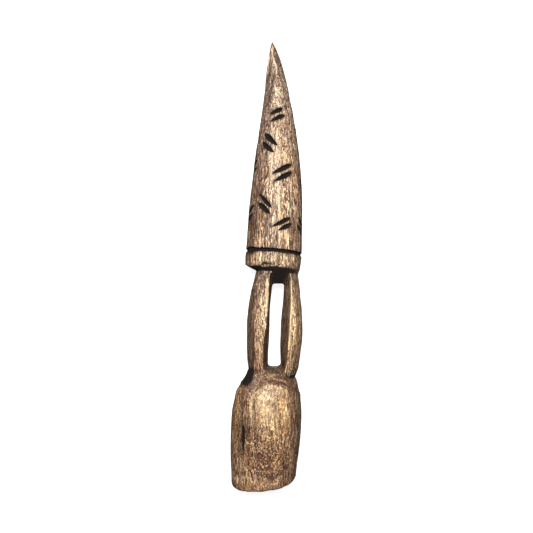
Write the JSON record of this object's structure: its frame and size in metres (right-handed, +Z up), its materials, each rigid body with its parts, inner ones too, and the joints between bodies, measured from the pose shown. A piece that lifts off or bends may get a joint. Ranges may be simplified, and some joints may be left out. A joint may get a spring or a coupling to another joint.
{
  "type": "ifa divination tapper",
  "caption": "Pointed wooden divination tapper carved in the solid: a curved cone with paired chip-cut marks and a ring groove, a slotted neck and a bell-shaped foot, lying down.",
  "frame": {"origin": "middle of the bounding box, at the surface that the tapper lies on", "axes": "+Y along the tapper toward its point, +X to the right of someone who looks down on its front, +Z up out of its front"},
  "size_m": [0.0477, 0.3, 0.0436],
  "materials": {
    "wood": "hand-carved open-grained hardwood, worn smooth on the raised parts, with dark pores and scorched cuts"
  },
  "bodies": {
    "root": {"tapper": "wood"}
  },
  "joints": []
}
